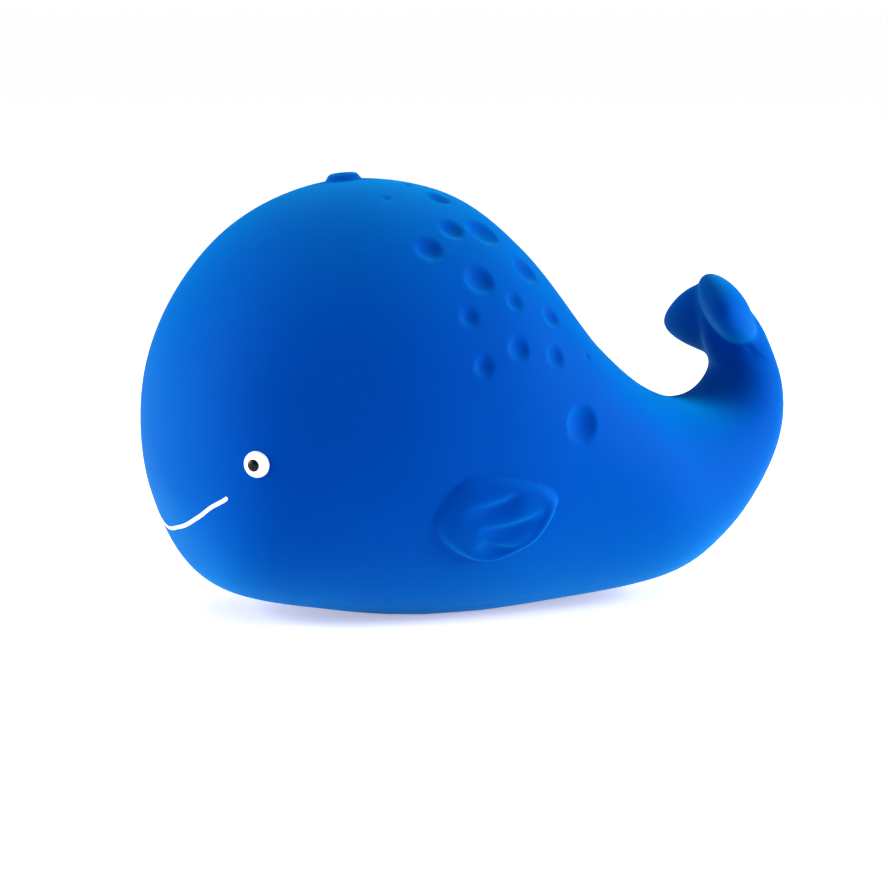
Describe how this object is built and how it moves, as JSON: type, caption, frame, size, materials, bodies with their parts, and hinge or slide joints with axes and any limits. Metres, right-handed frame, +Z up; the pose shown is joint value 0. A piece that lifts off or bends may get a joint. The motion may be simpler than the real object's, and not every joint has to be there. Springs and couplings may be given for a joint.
{
  "type": "bath toy",
  "caption": "Whale-shaped hollow rubber bath toy with a curled-up tail, round dents on its back, a plugged belly hole and a sealed reed squeaker inside.",
  "frame": {"origin": "middle of the box's underside, on the surface that the whale stands on", "axes": "+Z up, +X from the nose to the tail, so the whale faces -X; all but its leaning flukes and its painted smile is alike on both sides of the XZ plane"},
  "size_m": [0.108, 0.0698, 0.0699],
  "materials": {
    "blue_rubber": "matte, softly sheened, moulded",
    "plug_rubber": "matte, moulded",
    "squeaker_plastic": "moulded polyethylene",
    "reed_brass": "rolled strip",
    "white_paint": "satin paint",
    "black_paint": "satin paint"
  },
  "bodies": {
    "whale": {"body_shell": "blue_rubber", "belly_plug": "plug_rubber", "squeaker_cup": "squeaker_plastic", "reed_plate": "squeaker_plastic", "reed_clamp": "squeaker_plastic", "eye_white_left": "white_paint", "eye_white_right": "white_paint", "pupil_left": "black_paint", "pupil_right": "black_paint", "mouth_line": "white_paint"},
    "reed": {"squeaker_reed": "reed_brass"}
  },
  "joints": [
    {"name": "reed_flex", "type": "hinge", "parent": "whale", "child": "reed", "pos_m": [-0.00938, 0, 0.01027], "axis": [0, 1, 0], "range_deg": [-5, 5], "stiffness_Nm_per_rad": 0.0002}
  ]
}
